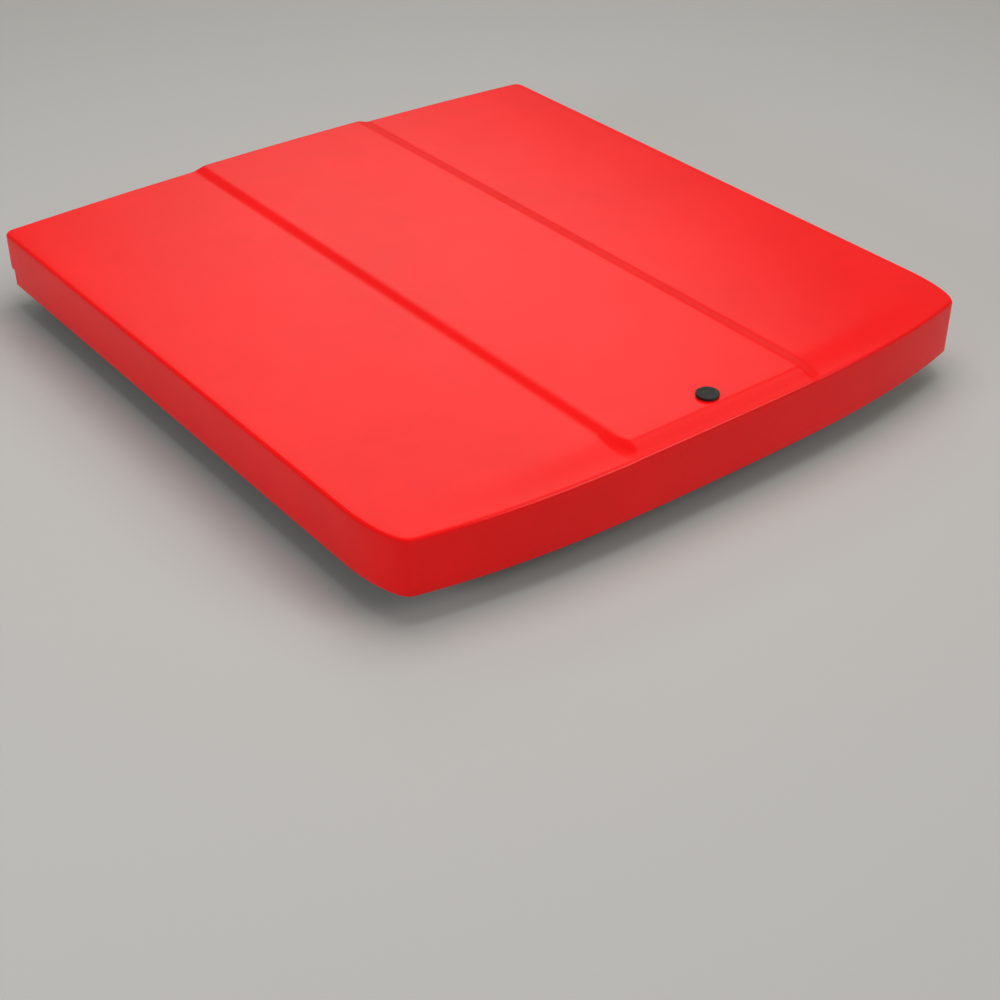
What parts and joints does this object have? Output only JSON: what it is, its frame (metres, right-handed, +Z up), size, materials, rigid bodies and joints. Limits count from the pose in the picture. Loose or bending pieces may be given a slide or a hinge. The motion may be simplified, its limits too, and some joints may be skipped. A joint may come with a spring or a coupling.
{
  "type": "tonneau cover",
  "caption": "Hard one-piece tonneau cover for a short pickup bed: a painted lid on front hinges and gas struts, with a keyed lock and a clamp-on bed frame.",
  "frame": {"origin": "middle of the underside of the front rail, in the plane of the top of the bed rails", "axes": "+Z up, away from the bed; +Y along the bed towards the cab; +X to the right of the truck"},
  "size_m": [1.72, 1.839, 0.2517],
  "materials": {
    "painted_skin": "clear-coated red paint on a moulded shell",
    "moulded_black_plastic": "moulded, fine grain",
    "mill_aluminium": "extruded, mill finish",
    "black_anodised_aluminium": "extruded and black anodised",
    "seal_rubber": "extruded, matte",
    "zinc_plated_steel": "zinc plated",
    "black_coated_steel": "black coated, semi-gloss",
    "chromed_steel": "ground and chrome plated"
  },
  "bodies": {
    "frame": {"front_rail": "black_anodised_aluminium", "side_rail_left": "black_anodised_aluminium", "side_rail_right": "black_anodised_aluminium", "corner_plate_left": "zinc_plated_steel", "corner_plate_right": "zinc_plated_steel", "hinge_base_left": "zinc_plated_steel", "hinge_base_right": "zinc_plated_steel", "front_seal": "seal_rubber", "rail_seal_left": "seal_rubber", "rail_seal_right": "seal_rubber", "keeper_left": "zinc_plated_steel", "keeper_right": "zinc_plated_steel", "strut_base_bracket_left": "zinc_plated_steel", "strut_base_bracket_right": "zinc_plated_steel", "front_clamp_left": "black_anodised_aluminium", "front_clamp_right": "black_anodised_aluminium", "middle_clamp_left": "black_anodised_aluminium", "middle_clamp_right": "black_anodised_aluminium", "rear_clamp_left": "black_anodised_aluminium", "rear_clamp_right": "black_anodised_aluminium"},
    "lid": {"lid_skin": "painted_skin", "inner_liner": "moulded_black_plastic", "front_bow": "mill_aluminium", "middle_bow": "mill_aluminium", "rear_bow": "mill_aluminium", "stringer_left": "mill_aluminium", "stringer_right": "mill_aluminium", "skirt_seal": "seal_rubber", "hinge_leaf_left": "zinc_plated_steel", "hinge_leaf_right": "zinc_plated_steel", "strut_top_bracket_left": "zinc_plated_steel", "strut_top_bracket_right": "zinc_plated_steel", "lock_barrel": "moulded_black_plastic", "lock_nut": "zinc_plated_steel", "lock_gasket": "seal_rubber", "cover_rivet": "black_coated_steel", "rod_guide_left": "moulded_black_plastic", "rod_guide_right": "moulded_black_plastic"},
    "dust_cover": {"lock_dust_cover": "moulded_black_plastic"},
    "lock_turn": {"key_cylinder": "zinc_plated_steel", "lock_cam": "zinc_plated_steel"},
    "bolt_left": {"lock_rod_left": "zinc_plated_steel"},
    "bolt_right": {"lock_rod_right": "zinc_plated_steel"},
    "hinge_pin_left": {"hinge_pin_left": "chromed_steel"},
    "hinge_pin_right": {"hinge_pin_right": "chromed_steel"},
    "front_screw_left": {"front_clamp_screw_left": "zinc_plated_steel"},
    "front_screw_right": {"front_clamp_screw_right": "zinc_plated_steel"},
    "middle_screw_left": {"middle_clamp_screw_left": "zinc_plated_steel"},
    "middle_screw_right": {"middle_clamp_screw_right": "zinc_plated_steel"},
    "rear_screw_left": {"rear_clamp_screw_left": "zinc_plated_steel"},
    "rear_screw_right": {"rear_clamp_screw_right": "zinc_plated_steel"},
    "strut_rod_left": {"strut_rod_left": "chromed_steel"},
    "strut_cylinder_left": {"strut_cylinder_left": "black_coated_steel", "strut_top_stud_left": "zinc_plated_steel"},
    "strut_rod_right": {"strut_rod_right": "chromed_steel"},
    "strut_cylinder_right": {"strut_cylinder_right": "black_coated_steel", "strut_top_stud_right": "zinc_plated_steel"}
  },
  "joints": [
    {"name": "lid_open", "type": "hinge", "parent": "frame", "child": "lid", "pos_m": [0, 0.012, 0.07], "axis": [-1, 0, 0], "range_deg": [0, 25]},
    {"name": "dust_cover_swing", "type": "hinge", "parent": "lid", "child": "dust_cover", "pos_m": [0, -1.706, 0.178], "axis": [0, 0, 1], "range_deg": [0, 110]},
    {"name": "key_turn", "type": "hinge", "parent": "lid", "child": "lock_turn", "pos_m": [0, -1.727, 0.1], "axis": [0, 0, 1], "range_deg": [0, 50]},
    {"name": "bolt_left_slide", "type": "slide", "parent": "lid", "child": "bolt_left", "axis": [-1, 0, 0], "range_m": [0, 0.022]},
    {"name": "bolt_right_slide", "type": "slide", "parent": "lid", "child": "bolt_right", "axis": [1, 0, 0], "range_m": [0, 0.022]},
    {"name": "hinge_pin_left_pull", "type": "slide", "parent": "frame", "child": "hinge_pin_left", "axis": [1, 0, 0], "range_m": [0, 0.045]},
    {"name": "hinge_pin_right_pull", "type": "slide", "parent": "frame", "child": "hinge_pin_right", "axis": [-1, 0, 0], "range_m": [0, 0.045]},
    {"name": "front_screw_left_back_off", "type": "slide", "parent": "frame", "child": "front_screw_left", "axis": [1, 0, 0], "range_m": [0, 0.015]},
    {"name": "front_screw_right_back_off", "type": "slide", "parent": "frame", "child": "front_screw_right", "axis": [-1, 0, 0], "range_m": [0, 0.015]},
    {"name": "middle_screw_left_back_off", "type": "slide", "parent": "frame", "child": "middle_screw_left", "axis": [1, 0, 0], "range_m": [0, 0.015]},
    {"name": "middle_screw_right_back_off", "type": "slide", "parent": "frame", "child": "middle_screw_right", "axis": [-1, 0, 0], "range_m": [0, 0.015]},
    {"name": "rear_screw_left_back_off", "type": "slide", "parent": "frame", "child": "rear_screw_left", "axis": [1, 0, 0], "range_m": [0, 0.015]},
    {"name": "rear_screw_right_back_off", "type": "slide", "parent": "frame", "child": "rear_screw_right", "axis": [-1, 0, 0], "range_m": [0, 0.015]},
    {"name": "strut_left_swing", "type": "hinge", "parent": "frame", "child": "strut_rod_left", "pos_m": [-0.745, -0.188, -0.04], "axis": [-1, 0, 0], "range_deg": [0, 31]},
    {"name": "strut_left_extend", "type": "slide", "parent": "strut_rod_left", "child": "strut_cylinder_left", "axis": [0, -0.9119, 0.4104], "range_m": [0, 0.0925]},
    {"name": "strut_right_swing", "type": "hinge", "parent": "frame", "child": "strut_rod_right", "pos_m": [0.745, -0.188, -0.04], "axis": [-1, 0, 0], "range_deg": [0, 31]},
    {"name": "strut_right_extend", "type": "slide", "parent": "strut_rod_right", "child": "strut_cylinder_right", "axis": [0, -0.9119, 0.4104], "range_m": [0, 0.0925]}
  ],
  "couplings": [
    {"joint": "bolt_left_slide", "follows": "key_turn", "m_per_rad": 0.025183},
    {"joint": "bolt_right_slide", "follows": "key_turn", "m_per_rad": 0.025183},
    {"joint": "strut_left_swing", "follows": "lid_open", "ratio": 1.2231},
    {"joint": "strut_left_extend", "follows": "lid_open", "m_per_rad": 0.21069},
    {"joint": "strut_right_swing", "follows": "lid_open", "ratio": 1.2231},
    {"joint": "strut_right_extend", "follows": "lid_open", "m_per_rad": 0.21069}
  ]
}
